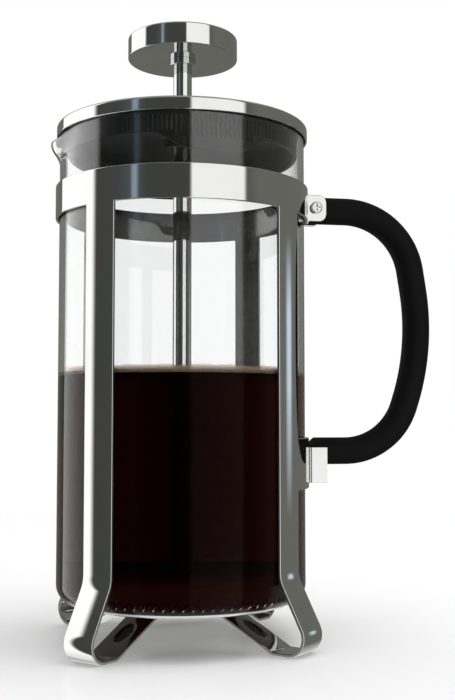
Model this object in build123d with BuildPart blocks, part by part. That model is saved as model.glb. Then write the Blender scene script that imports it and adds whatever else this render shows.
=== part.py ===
"""French press: a glass beaker in a steel cradle, with a slotted lid and a filter plunger.

Frame: origin on the beaker's axis at floor level, +Z up, handle towards +X, spout towards -X.
All sizes are millimetres.
"""
import os
from math import asin, cos, radians, sin, sqrt

from build123d import *

os.makedirs("parts", exist_ok=True)

# ---------------------------------------------------------------- driving dimensions
# Beaker
glass_outer_radius = 48.5
glass_wall = 2.2
glass_floor = 2.6
glass_height = 181.0
glass_outer_corner = 7.0
glass_inner_corner = 2.0
spout_reach = 4.2
spout_height = 9.0
spout_dip = 1.7
spout_tip_rounding = 5.0
spout_dip_radius = 150.0
spout_scoop = 0.3
spout_root_inset = 0.3

# Sheet-metal cradle
beaker_seat_height = 15.0
frame_sheet = 1.2
frame_clearance = 0.35
band_height = 12.7
band_below_rim = 19.9
strap_width = 13.2
flare_start_height = 27.0
flare_reach = 14.0
foot_inset = 3.15
flare_bend = 11.0
foot_outer_bend = 6.5
foot_inner_bend = 3.5
seat_tab_outer_radius = 22.0
seat_tab_inner_radius = 12.0
seat_tab_bend = 3.0
base_plate_radius = 25.0
dimple_length = 11.0
dimple_width = 5.4
dimple_depth = 0.6
leg_azimuths = {"front_right": -45, "back_right": 45, "back_left": 135, "front_left": -135}

# Rivets that hold the four legs to the base plate
rivet_radius = 2.0
rivet_head_radius = 3.2
rivet_head_height = 1.3
rivet_head_crown = 0.6
rivet_circle_radius = 17.0
rivet_clearance = 0.03

# Handle, its ears on the band, and its lower bracket on the saddle
handle_thickness = 10.8
handle_width = 11.2
handle_edge_share = 0.48
handle_tongue_width = 10.0
handle_tongue_clearance = 0.1
handle_reach = 41.35
handle_end_gap = 0.5
handle_end_chamfer = 2.2
handle_chamfer_slope = 1.4
handle_shoulder_gap = 0.25
arm_above_band_middle = 0.4
lower_arm_above_flare = 45.45
ear_length = 7.65
ear_height_margin = 0.1
ear_corner_radius = 2.7
ear_root_bend = 1.0
saddle_height = 19.4
saddle_below_arm = 8.45
bracket_height = 14.0
bracket_length = 7.55
bracket_above_saddle_foot = 1.4
bracket_bend = 1.5

# Curve of the handle, as shares of the distance between its two arms
handle_waist_lean = 0.087
handle_low_lean = 0.0563
handle_waist_rise = 0.436
handle_top_bend = 0.2866
handle_waist_bend = 1.003
handle_low_bend = 0.2712

# Clamp screw and nut through the ears
screw_radius = 1.5
screw_head_radius = 2.4
screw_head_height = 1.7
screw_head_crown = 0.7
screw_from_band = 3.4
screw_hole_clearance = 0.1
screw_thread_clearance = 0.03
screw_point_length = 0.8
recess_length = 3.0
recess_width = 0.65
recess_depth = 0.9
nut_across_flats = 5.5
nut_height = 2.4
nut_chamfer = 0.3

# Lid cover and slotted liner, the shoulder of the cover's dome as shares of its radius and rise
cover_side_clearance = 0.5
cover_sheet = 0.8
cover_rim_height = 4.9
cover_rim_overlap = 0.6
cover_dome_rise = 3.6
cover_edge_bend = 0.7
cover_dome_bend = 60.0
dome_shoulder_share = 0.55
dome_shoulder_drop = 0.12
lid_rest_gap = 0.2
liner_plate = 2.0
liner_side_clearance = 0.3
skirt_clearance = 0.5
skirt_wall = 1.6
skirt_depth = 8.0
tongue_depth = 14.0
tongue_half_angle = 31.0
tongue_flat_share = 0.3
slot_count = 41
slot_pitch_angle = 2.2
slot_width = 0.9
slot_top_gap = 1.6
slot_bottom_margin = 0.9
tongue_slot_length = 7.9
long_slot_share = 0.62
liner_turn = 7.0
hub_wall = 1.8
hub_depth = 3.5
hub_lip = 1.0
hub_lip_gap = 0.25

# Guide bush in the middle of the lid
guide_wall = 2.2
guide_flange_reach = 2.4
guide_flange_height = 1.0
guide_flange_gap = 0.1
running_clearance = 0.05

# Plunger
rod_radius = 3.7
rod_spigot_radius = 2.5
rod_spigot_below_nut = 0.4
knob_radius = 21.9
knob_height = 8.4
knob_above_rim = 41.8
knob_edge_rounding = 0.8
knob_socket_depth = 5.0
collar_wall = 1.5
collar_height = 2.4
plunger_fit = 0.03
plunger_top_gap = 0.7
coil_radius = 1.45
coil_side_gap = 0.35
coil_floor_gap = 0.45
filter_rise = 5.5
filter_land_radius = 9.0
filter_edge_gap = 0.05
filter_layer_gap = 0.05
plate_thickness = 0.8
mesh_thickness = 0.4
cross_plate_inset = 5.0
cross_plate_windows = 8
window_inner_radius = 13.0
window_rib = 4.5
window_rim = 3.5
window_rounding = 1.5
spring_plate_hole_radius = 1.35
# Share of the way from the land to the rim, and the number of holes on that ring
spring_plate_rings = {0.206: 14, 0.397: 20, 0.588: 26, 0.779: 32}
hub_nut_across_flats = 11.0
hub_nut_height = 3.8
hub_nut_chamfer = 0.4

# How far cuts run past the faces they cut, and the band inside the cradle's skin where
# the roots of the ears and of the bracket lie
cut_margin = 1.0
root_band_depth = 2.0
root_band_gap = 0.01

# ---------------------------------------------------------------- derived sizes and levels
glass_inner_radius = glass_outer_radius - glass_wall
glass_rim = beaker_seat_height + glass_height
glass_inside_floor = beaker_seat_height + glass_floor
lip_level = glass_rim - spout_dip
frame_inner_radius = glass_outer_radius + frame_clearance
frame_outer_radius = frame_inner_radius + frame_sheet
frame_mid_radius = frame_inner_radius + frame_sheet / 2
band_top = glass_rim - band_below_rim
band_bottom = band_top - band_height
seat_tab_level = beaker_seat_height - 1.5 * frame_sheet
tongue_slot_width = handle_tongue_width + 2 * handle_tongue_clearance
ear_face = tongue_slot_width / 2 + frame_sheet
ear_end = frame_outer_radius + ear_length
ear_height = handle_thickness - ear_height_margin
band_middle = (band_top + band_bottom) / 2
upper_arm_level = band_middle + arm_above_band_middle
lower_arm_level = flare_start_height + lower_arm_above_flare
arm_spacing = upper_arm_level - lower_arm_level
saddle_foot = lower_arm_level - handle_thickness / 2 - saddle_below_arm
bracket_foot = saddle_foot + bracket_above_saddle_foot
bracket_end = frame_outer_radius + bracket_length
handle_upper_end = frame_outer_radius + handle_end_gap
handle_lower_end = frame_outer_radius + frame_sheet + handle_end_gap
screw_x = frame_outer_radius + screw_from_band
cover_rim_low = glass_rim - cover_rim_overlap
cover_rim_top = cover_rim_low + cover_rim_height
cover_inner_radius = glass_outer_radius + cover_side_clearance
cover_radius = cover_inner_radius + cover_sheet
liner_underside = glass_rim + lid_rest_gap
skirt_radius = glass_inner_radius - skirt_clearance
skirt_low = glass_rim - skirt_depth
tongue_low = glass_rim - tongue_depth
guide_inner_radius = rod_radius + running_clearance
guide_outer_radius = guide_inner_radius + guide_wall
hub_inner_radius = guide_outer_radius + running_clearance
cover_dome_top = cover_rim_top + cover_dome_rise
guide_flange_level = cover_dome_top + guide_flange_gap
knob_top = glass_rim + knob_above_rim
knob_underside = knob_top - knob_height
coil_centre_radius = glass_inner_radius - coil_side_gap - coil_radius
coil_level = glass_inside_floor + coil_floor_gap + coil_radius
filter_rim_radius = coil_centre_radius - coil_radius - filter_edge_gap
plate_rim_level = coil_level - plate_thickness / 2
plunger_travel = tongue_low - (coil_level + coil_radius) - plunger_top_gap


def rotated_plane(azimuth, level=0.0):
    """Horizontal plane at a level, its X axis turned to an azimuth in degrees."""
    return Plane.XY.offset(level).rotated((0, 0, azimuth))


def filter_level(radius, drop=0.0):
    """Underside of the conical spring plate at a radius, less a drop for the layers beneath."""
    slope = filter_rise / (filter_rim_radius - filter_land_radius)
    return plate_rim_level + slope * (filter_rim_radius - max(radius, filter_land_radius)) - drop


def layer_outline(rim_radius, bore_radius, drop, thickness):
    """Half section of one conical filter layer with a flat land in its middle."""
    low = [(r, filter_level(r, drop)) for r in (bore_radius, filter_land_radius, rim_radius)]
    high = [(r, z + thickness) for r, z in reversed(low)]
    return low + high


def spout_triangle(wall_radius, tip_radius, shift):
    """Corners of the V whose sides run from the lip's tip to touch the beaker's wall."""
    half_angle = asin(wall_radius / tip_radius)
    side = sqrt(tip_radius**2 - wall_radius**2)
    back = tip_radius - side * cos(half_angle)
    spread = side * sin(half_angle)
    return [(-tip_radius + shift, 0), (-back + shift, spread), (-back + shift, -spread)]


# ---------------------------------------------------------------- glass beaker
spout_half_angle = asin(glass_outer_radius / (glass_outer_radius + spout_reach))
inner_tip_radius = glass_outer_radius + spout_reach - glass_wall / sin(spout_half_angle)
spout_tips = {
    Mode.ADD: (glass_outer_radius, glass_outer_radius + spout_reach),
    Mode.SUBTRACT: (glass_inner_radius, inner_tip_radius),
}

with BuildPart() as glass_beaker:
    with BuildSketch(Plane.XZ) as beaker_section:
        with Locations((glass_outer_radius / 2, (beaker_seat_height + glass_rim) / 2)):
            Rectangle(glass_outer_radius, glass_height)
        outer_corner = beaker_section.vertices().sort_by(Axis.X)[-2:].sort_by(Axis.Y)[0]
        fillet(outer_corner, glass_outer_corner)
    revolve(axis=Axis.Z)
    for step, (wall_radius, tip_radius) in spout_tips.items():
        if step == Mode.SUBTRACT:
            with BuildSketch(Plane.XZ) as bore_section:
                with Locations((glass_inner_radius / 2, (glass_inside_floor + glass_rim) / 2)):
                    Rectangle(glass_inner_radius, glass_rim - glass_inside_floor)
                inner_corner = bore_section.vertices().sort_by(Axis.X)[-2:].sort_by(Axis.Y)[0]
                fillet(inner_corner, glass_inner_corner)
            revolve(axis=Axis.Z, mode=Mode.SUBTRACT)
        low_shift = tip_radius - wall_radius + spout_root_inset
        for level, shift in ((glass_rim - spout_height, low_shift), (lip_level, 0)):
            with BuildSketch(Plane.XY.offset(level)) as lip_section:
                Polygon(*spout_triangle(wall_radius, tip_radius, shift), align=None)
                fillet(lip_section.vertices().sort_by(Axis.X)[0], spout_tip_rounding)
        loft(mode=step)
    extrude(lip_section.sketch, amount=2 * spout_dip, mode=Mode.SUBTRACT)
    with BuildSketch(Plane.YZ.offset(-glass_outer_radius - 2 * spout_reach)):
        with Locations((0, lip_level - spout_scoop + spout_dip_radius)):
            Circle(spout_dip_radius)
    extrude(amount=glass_outer_radius, mode=Mode.SUBTRACT)
glass_beaker.part.label = "glass_beaker"
export_step(glass_beaker.part, "parts/glass_beaker.step")

# ---------------------------------------------------------------- upper band with its two ears
with BuildPart() as upper_band:
    with BuildSketch(Plane.XY.offset(band_bottom)) as band_plan:
        Circle(frame_outer_radius)
        with Locations((ear_end / 2, 0)):
            Rectangle(ear_end, 2 * ear_face)
        root_corners = band_plan.vertices().filter_by_position(
            Axis.X, frame_outer_radius - root_band_depth, frame_outer_radius - root_band_gap
        )
        fillet(root_corners, ear_root_bend)
        Circle(frame_inner_radius, mode=Mode.SUBTRACT)
        with Locations((ear_end, 0)):
            Rectangle(2 * (ear_end - frame_inner_radius + 2 * cut_margin), tongue_slot_width,
                      mode=Mode.SUBTRACT)
    extrude(amount=band_height)
    with BuildSketch(Plane.XZ):
        with Locations((0, band_middle)):
            Rectangle(2 * (frame_outer_radius + ear_root_bend / 2), band_height)
        with Locations((frame_outer_radius, band_middle + arm_above_band_middle)):
            RectangleRounded(2 * ear_length, ear_height, ear_corner_radius)
    extrude(amount=frame_outer_radius, both=True, mode=Mode.INTERSECT)
    with BuildSketch(Plane.XZ):
        with Locations((screw_x, upper_arm_level)):
            Circle(screw_radius + screw_hole_clearance)
    extrude(amount=ear_face + cut_margin, both=True, mode=Mode.SUBTRACT)
upper_band.part.label = "upper_band"
export_step(upper_band.part, "parts/upper_band.step")

# ---------------------------------------------------------------- four legs
foot_corner_radius = frame_mid_radius + flare_reach
foot_inner_radius = frame_mid_radius - foot_inset
leg_route = [
    (frame_mid_radius, band_bottom),
    (frame_mid_radius, flare_start_height),
    (foot_corner_radius, frame_sheet / 2),
    (foot_inner_radius, frame_sheet / 2),
    (seat_tab_outer_radius, seat_tab_level),
    (seat_tab_inner_radius, seat_tab_level),
]
leg_bends = [flare_bend, foot_outer_bend, foot_inner_bend, seat_tab_bend]
strut_rise = seat_tab_level - frame_sheet / 2
strut_run = foot_inner_radius - seat_tab_outer_radius
strut_length = sqrt(strut_rise**2 + strut_run**2)
strut_normal = (strut_rise / strut_length, strut_run / strut_length)
dimple_centre = (
    (foot_inner_radius + seat_tab_outer_radius) / 2 + strut_normal[0] * frame_sheet / 2,
    (seat_tab_level + frame_sheet / 2) / 2 + strut_normal[1] * frame_sheet / 2,
)

for leg_name, azimuth in leg_azimuths.items():
    outward = Vector(cos(radians(azimuth)), sin(radians(azimuth)), 0)
    side_plane = Plane(origin=(0, 0, 0), x_dir=outward, z_dir=outward.cross(Vector(0, 0, 1)))
    with BuildPart() as leg:
        with BuildSketch(side_plane):
            with BuildLine() as leg_line:
                FilletPolyline(*leg_route, radius=leg_bends)
            trace(leg_line.edges(), line_width=frame_sheet)
        revolve(axis=Axis.Z)
        with BuildSketch(rotated_plane(azimuth)):
            with Locations((foot_corner_radius / 2, 0)):
                Rectangle(foot_corner_radius, strap_width)
        extrude(amount=band_bottom, mode=Mode.INTERSECT)
        dimple_origin = outward * dimple_centre[0] + Vector(0, 0, dimple_centre[1])
        dimple_axis = outward * strut_normal[0] + Vector(0, 0, strut_normal[1])
        along_strut = outward * strut_normal[1] - Vector(0, 0, strut_normal[0])
        with BuildSketch(Plane(origin=dimple_origin, x_dir=along_strut, z_dir=dimple_axis)):
            Ellipse(dimple_length / 2, dimple_width / 2)
        extrude(amount=-dimple_depth, mode=Mode.SUBTRACT)
        with BuildSketch(rotated_plane(azimuth)):
            with Locations((rivet_circle_radius, 0)):
                Circle(rivet_radius + rivet_clearance)
        extrude(amount=beaker_seat_height, mode=Mode.SUBTRACT)
    leg.part.label = "leg_" + leg_name
    export_step(leg.part, f"parts/leg_{leg_name}.step")

# ---------------------------------------------------------------- base plate and its rivets
rivet_angle = list(leg_azimuths.values())[0]

with BuildPart() as base_plate:
    with BuildSketch(Plane.XY.offset(beaker_seat_height - frame_sheet)):
        Circle(base_plate_radius)
        with PolarLocations(rivet_circle_radius, len(leg_azimuths), start_angle=rivet_angle):
            Circle(rivet_radius + rivet_clearance, mode=Mode.SUBTRACT)
    extrude(amount=frame_sheet)
base_plate.part.label = "base_plate"
export_step(base_plate.part, "parts/base_plate.step")

rivet_head_top = beaker_seat_height - 2 * frame_sheet

with BuildPart() as base_rivets:
    with BuildSketch(Plane.XY.offset(rivet_head_top)):
        with PolarLocations(rivet_circle_radius, len(leg_azimuths), start_angle=rivet_angle):
            Circle(rivet_radius)
    extrude(amount=2 * frame_sheet - rivet_clearance)
    with BuildSketch(Plane.XY.offset(rivet_head_top)):
        with PolarLocations(rivet_circle_radius, len(leg_azimuths), start_angle=rivet_angle):
            Circle(rivet_head_radius)
    extrude(amount=-rivet_head_height)
    fillet(base_rivets.faces().group_by(Axis.Z)[0].edges(), rivet_head_crown)
base_rivets.part.label = "base_rivets"
export_step(base_rivets.part, "parts/base_rivets.step")

# ---------------------------------------------------------------- saddle between the handle-side legs
with BuildPart() as handle_saddle:
    with BuildSketch(Plane.XY.offset(saddle_foot)):
        Circle(frame_outer_radius)
        Circle(frame_inner_radius, mode=Mode.SUBTRACT)
        Polygon((0, 0), (2 * cover_radius, -2 * cover_radius), (2 * cover_radius, 2 * cover_radius),
                align=None, mode=Mode.INTERSECT)
        for azimuth in (leg_azimuths["front_right"], leg_azimuths["back_right"]):
            with Locations(Location((0, 0, 0), (0, 0, azimuth))):
                Rectangle(4 * cover_radius, strap_width, mode=Mode.SUBTRACT)
    extrude(amount=saddle_height)
handle_saddle.part.label = "handle_saddle"
export_step(handle_saddle.part, "parts/handle_saddle.step")

# ---------------------------------------------------------------- lower bracket, a channel on the saddle
with BuildPart() as handle_bracket:
    with BuildSketch(Plane.XY.offset(bracket_foot)):
        with Locations((bracket_end / 2, 0)):
            Rectangle(bracket_end, 2 * ear_face)
        Circle(frame_outer_radius, mode=Mode.SUBTRACT)
        with Locations((bracket_end, 0)):
            Rectangle(2 * (bracket_length - frame_sheet), tongue_slot_width, mode=Mode.SUBTRACT)
    extrude(amount=bracket_height)
    root_edges = handle_bracket.edges().filter_by(Axis.Z).filter_by_position(
        Axis.X, frame_outer_radius - root_band_depth, frame_outer_radius - root_band_gap
    )
    fillet(root_edges, bracket_bend)
handle_bracket.part.label = "handle_bracket"
export_step(handle_bracket.part, "parts/handle_bracket.step")

# ---------------------------------------------------------------- handle
handle_top_corner = frame_outer_radius + handle_reach
waist_reach = handle_top_corner + handle_waist_lean * arm_spacing
waist_level = lower_arm_level + handle_waist_rise * arm_spacing
low_corner = handle_top_corner - handle_low_lean * arm_spacing
handle_route = [
    (handle_upper_end, 0, upper_arm_level),
    (handle_top_corner, 0, upper_arm_level),
    (waist_reach, 0, waist_level),
    (low_corner, 0, lower_arm_level),
    (handle_lower_end, 0, lower_arm_level),
]
handle_bends = [share * arm_spacing for share in (handle_top_bend, handle_waist_bend, handle_low_bend)]
groove_depth = handle_width - handle_tongue_width
handle_edge_rounding = handle_edge_share * min(handle_width, handle_thickness)

with BuildPart() as handle:
    with BuildLine():
        FilletPolyline(*handle_route, radius=handle_bends)
    with BuildSketch(Plane.YZ.offset(handle_upper_end)):
        with Locations((0, upper_arm_level)):
            RectangleRounded(handle_width, handle_thickness, handle_edge_rounding)
    sweep()
    with BuildSketch(Plane.XY.offset(upper_arm_level - handle_thickness)):
        with Locations((frame_outer_radius, handle_width / 2), (frame_outer_radius, -handle_width / 2)):
            Rectangle(2 * (ear_length + handle_shoulder_gap), groove_depth)
    extrude(amount=2 * handle_thickness, mode=Mode.SUBTRACT)
    with BuildSketch(Plane.XY.offset(bracket_foot)):
        with Locations((frame_outer_radius, handle_width / 2), (frame_outer_radius, -handle_width / 2)):
            Rectangle(2 * (bracket_length + handle_shoulder_gap), groove_depth)
    extrude(amount=bracket_height + handle_shoulder_gap, mode=Mode.SUBTRACT)
    with BuildSketch(Plane.XZ):
        with Locations((screw_x, upper_arm_level)):
            Circle(screw_radius + screw_hole_clearance)
    extrude(amount=handle_width, both=True, mode=Mode.SUBTRACT)
    arm_top = lower_arm_level + handle_thickness / 2
    with BuildSketch(Plane.XZ):
        Polygon((handle_lower_end, arm_top), (handle_lower_end + handle_end_chamfer, arm_top),
                (handle_lower_end, arm_top - handle_chamfer_slope * handle_end_chamfer),
                align=None)
    extrude(amount=handle_width, both=True, mode=Mode.SUBTRACT)
handle.part.label = "handle"
export_step(handle.part, "parts/handle.step")

# ---------------------------------------------------------------- clamp screw and nut
screw_plane = Plane(origin=(screw_x, -ear_face, upper_arm_level), x_dir=(1, 0, 0), z_dir=(0, 1, 0))
screw_length = 2 * ear_face + nut_height + screw_point_length

with BuildPart() as clamp_screw:
    with BuildSketch(screw_plane):
        Circle(screw_head_radius)
    extrude(amount=-screw_head_height)
    fillet(clamp_screw.faces().sort_by(Axis.Y)[0].edges(), screw_head_crown)
    with BuildSketch(screw_plane):
        Circle(screw_radius)
    extrude(amount=screw_length)
    with BuildSketch(screw_plane.offset(-screw_head_height)):
        Rectangle(recess_length, recess_width)
        Rectangle(recess_width, recess_length)
    extrude(amount=recess_depth, mode=Mode.SUBTRACT)
clamp_screw.part.label = "clamp_screw"
export_step(clamp_screw.part, "parts/clamp_screw.step")

with BuildPart() as clamp_nut:
    with BuildSketch(screw_plane.offset(2 * ear_face)):
        RegularPolygon(nut_across_flats / 2, 6, major_radius=False, rotation=30)
    extrude(amount=nut_height)
    chamfer(clamp_nut.faces().sort_by(Axis.Y)[-1].edges(), nut_chamfer)
    with BuildSketch(screw_plane.offset(2 * ear_face)):
        Circle(screw_radius + screw_thread_clearance)
    extrude(amount=nut_height, mode=Mode.SUBTRACT)
clamp_nut.part.label = "clamp_nut"
export_step(clamp_nut.part, "parts/clamp_nut.step")

# ---------------------------------------------------------------- lid cover
half_sheet = cover_sheet / 2
dome_edge = (cover_radius - half_sheet, cover_rim_top - half_sheet)
dome_bore = hub_inner_radius - half_sheet
dome_shoulder = (
    dome_shoulder_share * cover_radius,
    cover_dome_top - half_sheet - dome_shoulder_drop * cover_dome_rise,
)

with BuildPart() as lid_cover:
    with BuildSketch(Plane.XZ):
        with BuildLine() as cover_line:
            FilletPolyline(
                (dome_edge[0], cover_rim_low), dome_edge, dome_shoulder,
                (dome_bore, cover_dome_top - half_sheet),
                radius=[cover_edge_bend, cover_dome_bend],
            )
        trace(cover_line.edges(), line_width=cover_sheet)
    revolve(axis=Axis.Z)
    with BuildSketch(Plane.XY.offset(cover_rim_low)):
        Circle(hub_inner_radius)
    extrude(amount=2 * cover_dome_rise + cover_rim_height, mode=Mode.SUBTRACT)
lid_cover.part.label = "lid_cover"
export_step(lid_cover.part, "parts/lid_cover.step")

# ---------------------------------------------------------------- slotted lid liner
skirt_inner_radius = skirt_radius - skirt_wall
liner_flange_radius = cover_inner_radius - liner_side_clearance
tongue_edge = skirt_radius * sin(radians(tongue_half_angle))
tongue_flat = tongue_edge * tongue_flat_share
slot_top = glass_rim - slot_top_gap
guide_foot = liner_underside - hub_depth + hub_lip

with BuildPart() as lid_liner:
    with BuildSketch(Plane.XY.offset(tongue_low)):
        Circle(skirt_radius)
        Circle(skirt_inner_radius, mode=Mode.SUBTRACT)
    extrude(amount=liner_underside - tongue_low)
    with BuildSketch(Plane.XZ.rotated((0, 0, liner_turn))):
        for side in (-1, 1):
            with BuildLine():
                Spline(
                    (side * tongue_flat, tongue_low), (side * tongue_edge, skirt_low),
                    tangents=[(side, 0), (side, 0)],
                )
                Polyline(
                    (side * tongue_edge, skirt_low), (side * cover_radius, skirt_low),
                    (side * cover_radius, tongue_low - cut_margin),
                    (side * tongue_flat, tongue_low - cut_margin),
                    (side * tongue_flat, tongue_low),
                )
            make_face()
    extrude(amount=cover_radius, both=True, mode=Mode.SUBTRACT)
    for middle in (liner_turn - 90, liner_turn + 90):
        for index in range(slot_count):
            offset_angle = (index - (slot_count - 1) / 2) * slot_pitch_angle
            reach = skirt_radius * sin(radians(abs(offset_angle)))
            in_tongue = reach < tongue_edge * long_slot_share
            slot_foot = slot_top - tongue_slot_length if in_tongue else skirt_low + slot_bottom_margin
            slot_radius = (skirt_radius + skirt_inner_radius) / 2
            with BuildSketch(rotated_plane(middle + offset_angle, slot_foot)):
                with Locations((slot_radius, 0)):
                    Rectangle(2 * skirt_wall, slot_width)
            extrude(amount=slot_top - slot_foot, mode=Mode.SUBTRACT)
    with BuildSketch(Plane.XY.offset(liner_underside)):
        Circle(liner_flange_radius)
    extrude(amount=liner_plate)
    with BuildSketch(Plane.XY.offset(liner_underside - hub_depth)):
        Circle(hub_inner_radius + hub_wall)
    extrude(amount=hub_depth)
    with BuildSketch(Plane.XY.offset(guide_foot)):
        Circle(hub_inner_radius)
    extrude(amount=hub_depth + liner_plate, mode=Mode.SUBTRACT)
    with BuildSketch(Plane.XY.offset(guide_foot - hub_lip)):
        Circle(guide_inner_radius + hub_lip_gap)
    extrude(amount=hub_lip, mode=Mode.SUBTRACT)
lid_liner.part.label = "lid_liner"
export_step(lid_liner.part, "parts/lid_liner.step")

# ---------------------------------------------------------------- guide bush for the rod
with BuildPart() as rod_guide:
    with BuildSketch(Plane.XY.offset(guide_foot)):
        Circle(guide_outer_radius)
    extrude(amount=guide_flange_level - guide_foot)
    with BuildSketch(Plane.XY.offset(guide_flange_level)):
        Circle(guide_outer_radius + guide_flange_reach)
    extrude(amount=guide_flange_height)
    fillet(rod_guide.faces().sort_by(Axis.Z)[-1].edges(), guide_flange_height / 2)
    with BuildSketch(Plane.XY.offset(guide_foot)):
        Circle(guide_inner_radius)
    extrude(amount=guide_flange_level + guide_flange_height - guide_foot, mode=Mode.SUBTRACT)
rod_guide.part.label = "rod_guide"
export_step(rod_guide.part, "parts/rod_guide.step")

# ---------------------------------------------------------------- filter layers on the plunger
spigot_bore = rod_spigot_radius + plunger_fit
mesh_drop = mesh_thickness + filter_layer_gap
cross_plate_drop = mesh_drop + plate_thickness + filter_layer_gap
land_top = filter_level(0) + plate_thickness
hub_nut_top = filter_level(0, cross_plate_drop)

with BuildPart() as spring_plate:
    with BuildSketch(Plane.XZ):
        Polygon(*layer_outline(filter_rim_radius, spigot_bore, 0, plate_thickness), align=None)
    revolve(axis=Axis.Z)
    with BuildSketch(Plane.XY.offset(plate_rim_level)):
        for share, hole_count in spring_plate_rings.items():
            ring_radius = filter_land_radius + share * (filter_rim_radius - filter_land_radius)
            with PolarLocations(ring_radius, hole_count):
                Circle(spring_plate_hole_radius)
    extrude(amount=2 * filter_rise, mode=Mode.SUBTRACT)
spring_plate.part.label = "spring_plate"
export_step(spring_plate.part, "parts/spring_plate.step")

with BuildPart() as filter_mesh:
    with BuildSketch(Plane.XZ):
        Polygon(*layer_outline(filter_rim_radius, spigot_bore, mesh_drop, mesh_thickness), align=None)
    revolve(axis=Axis.Z)
filter_mesh.part.label = "filter_mesh"
export_step(filter_mesh.part, "parts/filter_mesh.step")

cross_plate_radius = filter_rim_radius - cross_plate_inset
window_outer_radius = cross_plate_radius - window_rim
window_angle = 360 / cross_plate_windows

with BuildPart() as cross_plate:
    with BuildSketch(Plane.XZ):
        Polygon(
            *layer_outline(cross_plate_radius, spigot_bore, cross_plate_drop, plate_thickness),
            align=None,
        )
    revolve(axis=Axis.Z)
    with BuildSketch(Plane.XY.offset(glass_inside_floor)) as window_plan:
        Circle(window_outer_radius)
        Circle(window_inner_radius, mode=Mode.SUBTRACT)
        with PolarLocations(0, cross_plate_windows, start_angle=window_angle / 2):
            Rectangle(window_outer_radius + cut_margin, window_rib, align=(Align.MIN, Align.CENTER),
                      mode=Mode.SUBTRACT)
        fillet(window_plan.vertices(), window_rounding)
    extrude(amount=2 * filter_rise, mode=Mode.SUBTRACT)
cross_plate.part.label = "cross_plate"
export_step(cross_plate.part, "parts/cross_plate.step")

with BuildPart() as coil_spring:
    with BuildSketch(Plane.XZ):
        with Locations((coil_centre_radius, coil_level)):
            Circle(coil_radius)
    revolve(axis=Axis.Z)
coil_spring.part.label = "coil_spring"
export_step(coil_spring.part, "parts/coil_spring.step")

with BuildPart() as hub_nut:
    with BuildSketch(Plane.XY.offset(hub_nut_top - hub_nut_height)):
        RegularPolygon(hub_nut_across_flats / 2, 6, major_radius=False)
    extrude(amount=hub_nut_height)
    chamfer(hub_nut.faces().sort_by(Axis.Z)[0].edges(), hub_nut_chamfer)
    with BuildSketch(Plane.XY.offset(hub_nut_top - hub_nut_height)):
        Circle(spigot_bore)
    extrude(amount=hub_nut_height, mode=Mode.SUBTRACT)
hub_nut.part.label = "hub_nut"
export_step(hub_nut.part, "parts/hub_nut.step")

# ---------------------------------------------------------------- rod, collar and knob
rod_foot = hub_nut_top - hub_nut_height - rod_spigot_below_nut
rod_shoulder = knob_underside + knob_socket_depth

with BuildPart() as plunger_rod:
    with BuildSketch(Plane.XY.offset(rod_foot)):
        Circle(rod_spigot_radius)
    extrude(amount=rod_shoulder - rod_foot)
    with BuildSketch(Plane.XY.offset(land_top)):
        Circle(rod_radius)
    extrude(amount=knob_underside - land_top)
plunger_rod.part.label = "plunger_rod"
export_step(plunger_rod.part, "parts/plunger_rod.step")

with BuildPart() as knob_collar:
    with BuildSketch(Plane.XY.offset(knob_underside - collar_height)):
        Circle(rod_radius + collar_wall)
        Circle(rod_radius + plunger_fit, mode=Mode.SUBTRACT)
    extrude(amount=collar_height)
knob_collar.part.label = "knob_collar"
export_step(knob_collar.part, "parts/knob_collar.step")

with BuildPart() as knob:
    with BuildSketch(Plane.XY.offset(knob_underside)):
        Circle(knob_radius)
    extrude(amount=knob_height)
    fillet(knob.edges().group_by(Axis.Z)[-1], knob_edge_rounding)
    fillet(knob.edges().group_by(Axis.Z)[0], knob_edge_rounding / 2)
    with BuildSketch(Plane.XY.offset(knob_underside)):
        Circle(spigot_bore)
    extrude(amount=knob_socket_depth + plunger_fit, mode=Mode.SUBTRACT)
knob.part.label = "knob"
export_step(knob.part, "parts/knob.step")

print(f"overall height {knob_top:.1f}, plunger travel {plunger_travel:.1f}")
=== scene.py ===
"""French press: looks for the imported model, in metres and in the CAD model's own frame."""
import math

import bmesh
import bpy
import numpy as np
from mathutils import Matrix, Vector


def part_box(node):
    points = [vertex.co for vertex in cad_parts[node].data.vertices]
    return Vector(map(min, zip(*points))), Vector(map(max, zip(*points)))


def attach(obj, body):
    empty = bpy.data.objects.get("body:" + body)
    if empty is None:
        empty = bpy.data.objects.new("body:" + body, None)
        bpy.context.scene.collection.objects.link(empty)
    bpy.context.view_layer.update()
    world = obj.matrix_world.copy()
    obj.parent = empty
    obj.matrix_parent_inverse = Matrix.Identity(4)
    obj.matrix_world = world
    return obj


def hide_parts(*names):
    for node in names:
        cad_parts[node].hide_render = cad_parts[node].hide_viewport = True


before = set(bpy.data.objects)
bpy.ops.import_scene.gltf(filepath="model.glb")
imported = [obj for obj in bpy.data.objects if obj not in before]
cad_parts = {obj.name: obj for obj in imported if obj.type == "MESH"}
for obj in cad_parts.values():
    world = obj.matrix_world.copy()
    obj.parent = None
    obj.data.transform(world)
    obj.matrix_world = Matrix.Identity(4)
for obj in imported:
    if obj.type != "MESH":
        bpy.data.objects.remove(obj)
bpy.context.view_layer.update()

MM = 0.001
TURN_STEPS = 240          # facets round a turned part
ARC_STEP = math.radians(7)


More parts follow.
